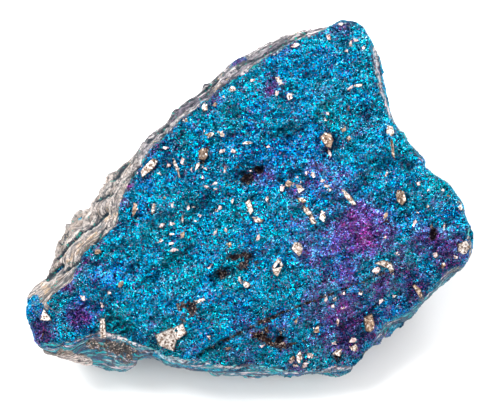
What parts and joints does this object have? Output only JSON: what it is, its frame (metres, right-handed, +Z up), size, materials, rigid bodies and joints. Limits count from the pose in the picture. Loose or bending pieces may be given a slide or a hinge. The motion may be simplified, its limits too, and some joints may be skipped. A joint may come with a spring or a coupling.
{
  "type": "chalcopyrite specimen",
  "caption": "Loose stone of tarnished chalcopyrite with a broad iridescent face, brassy crystals, pits, a layered host-rock edge and broken sides. It rests on a flat base.",
  "frame": {"origin": "middle of the bounding box, on the floor that the stone rests on", "axes": "+X to the right along the stone's length, +Y to the back, +Z up; the broad face looks up and towards -Y"},
  "size_m": [0.0718, 0.051, 0.0351],
  "materials": {
    "tarnished_chalcopyrite": "iridescent tarnish over metallic sulphide grains, rough at the host-rock edge"
  },
  "bodies": {
    "root": {"chalcopyrite_specimen": "tarnished_chalcopyrite"}
  },
  "joints": []
}
